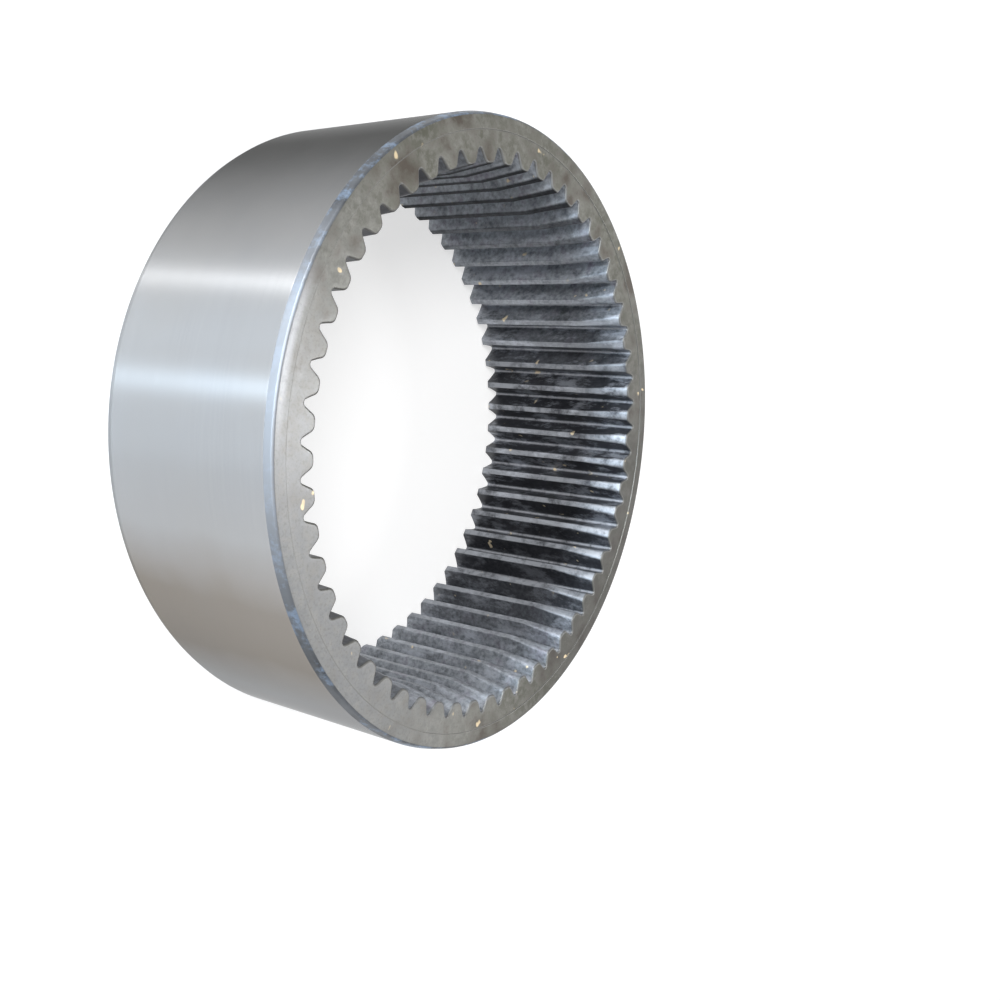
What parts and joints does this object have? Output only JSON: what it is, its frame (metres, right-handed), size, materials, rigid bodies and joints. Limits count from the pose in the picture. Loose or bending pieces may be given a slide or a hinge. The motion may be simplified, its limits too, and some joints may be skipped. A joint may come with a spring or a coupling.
{
  "type": "internal ring gear",
  "caption": "Internal ring gear with straight involute teeth, a ground outside, press-in chamfers and a lead-in to the teeth.",
  "frame": {"origin": "centre of the back end face, on the ring's axis", "axes": "+Z along the ring's axis, from the back end face towards the front end face with the lead-in; +X through the middle of a tooth space"},
  "size_m": [0.266, 0.266, 0.088],
  "materials": {
    "ring_steel": "ground outside, dark oxide on the end faces and teeth"
  },
  "bodies": {
    "root": {"ring_gear": "ring_steel"}
  },
  "joints": []
}
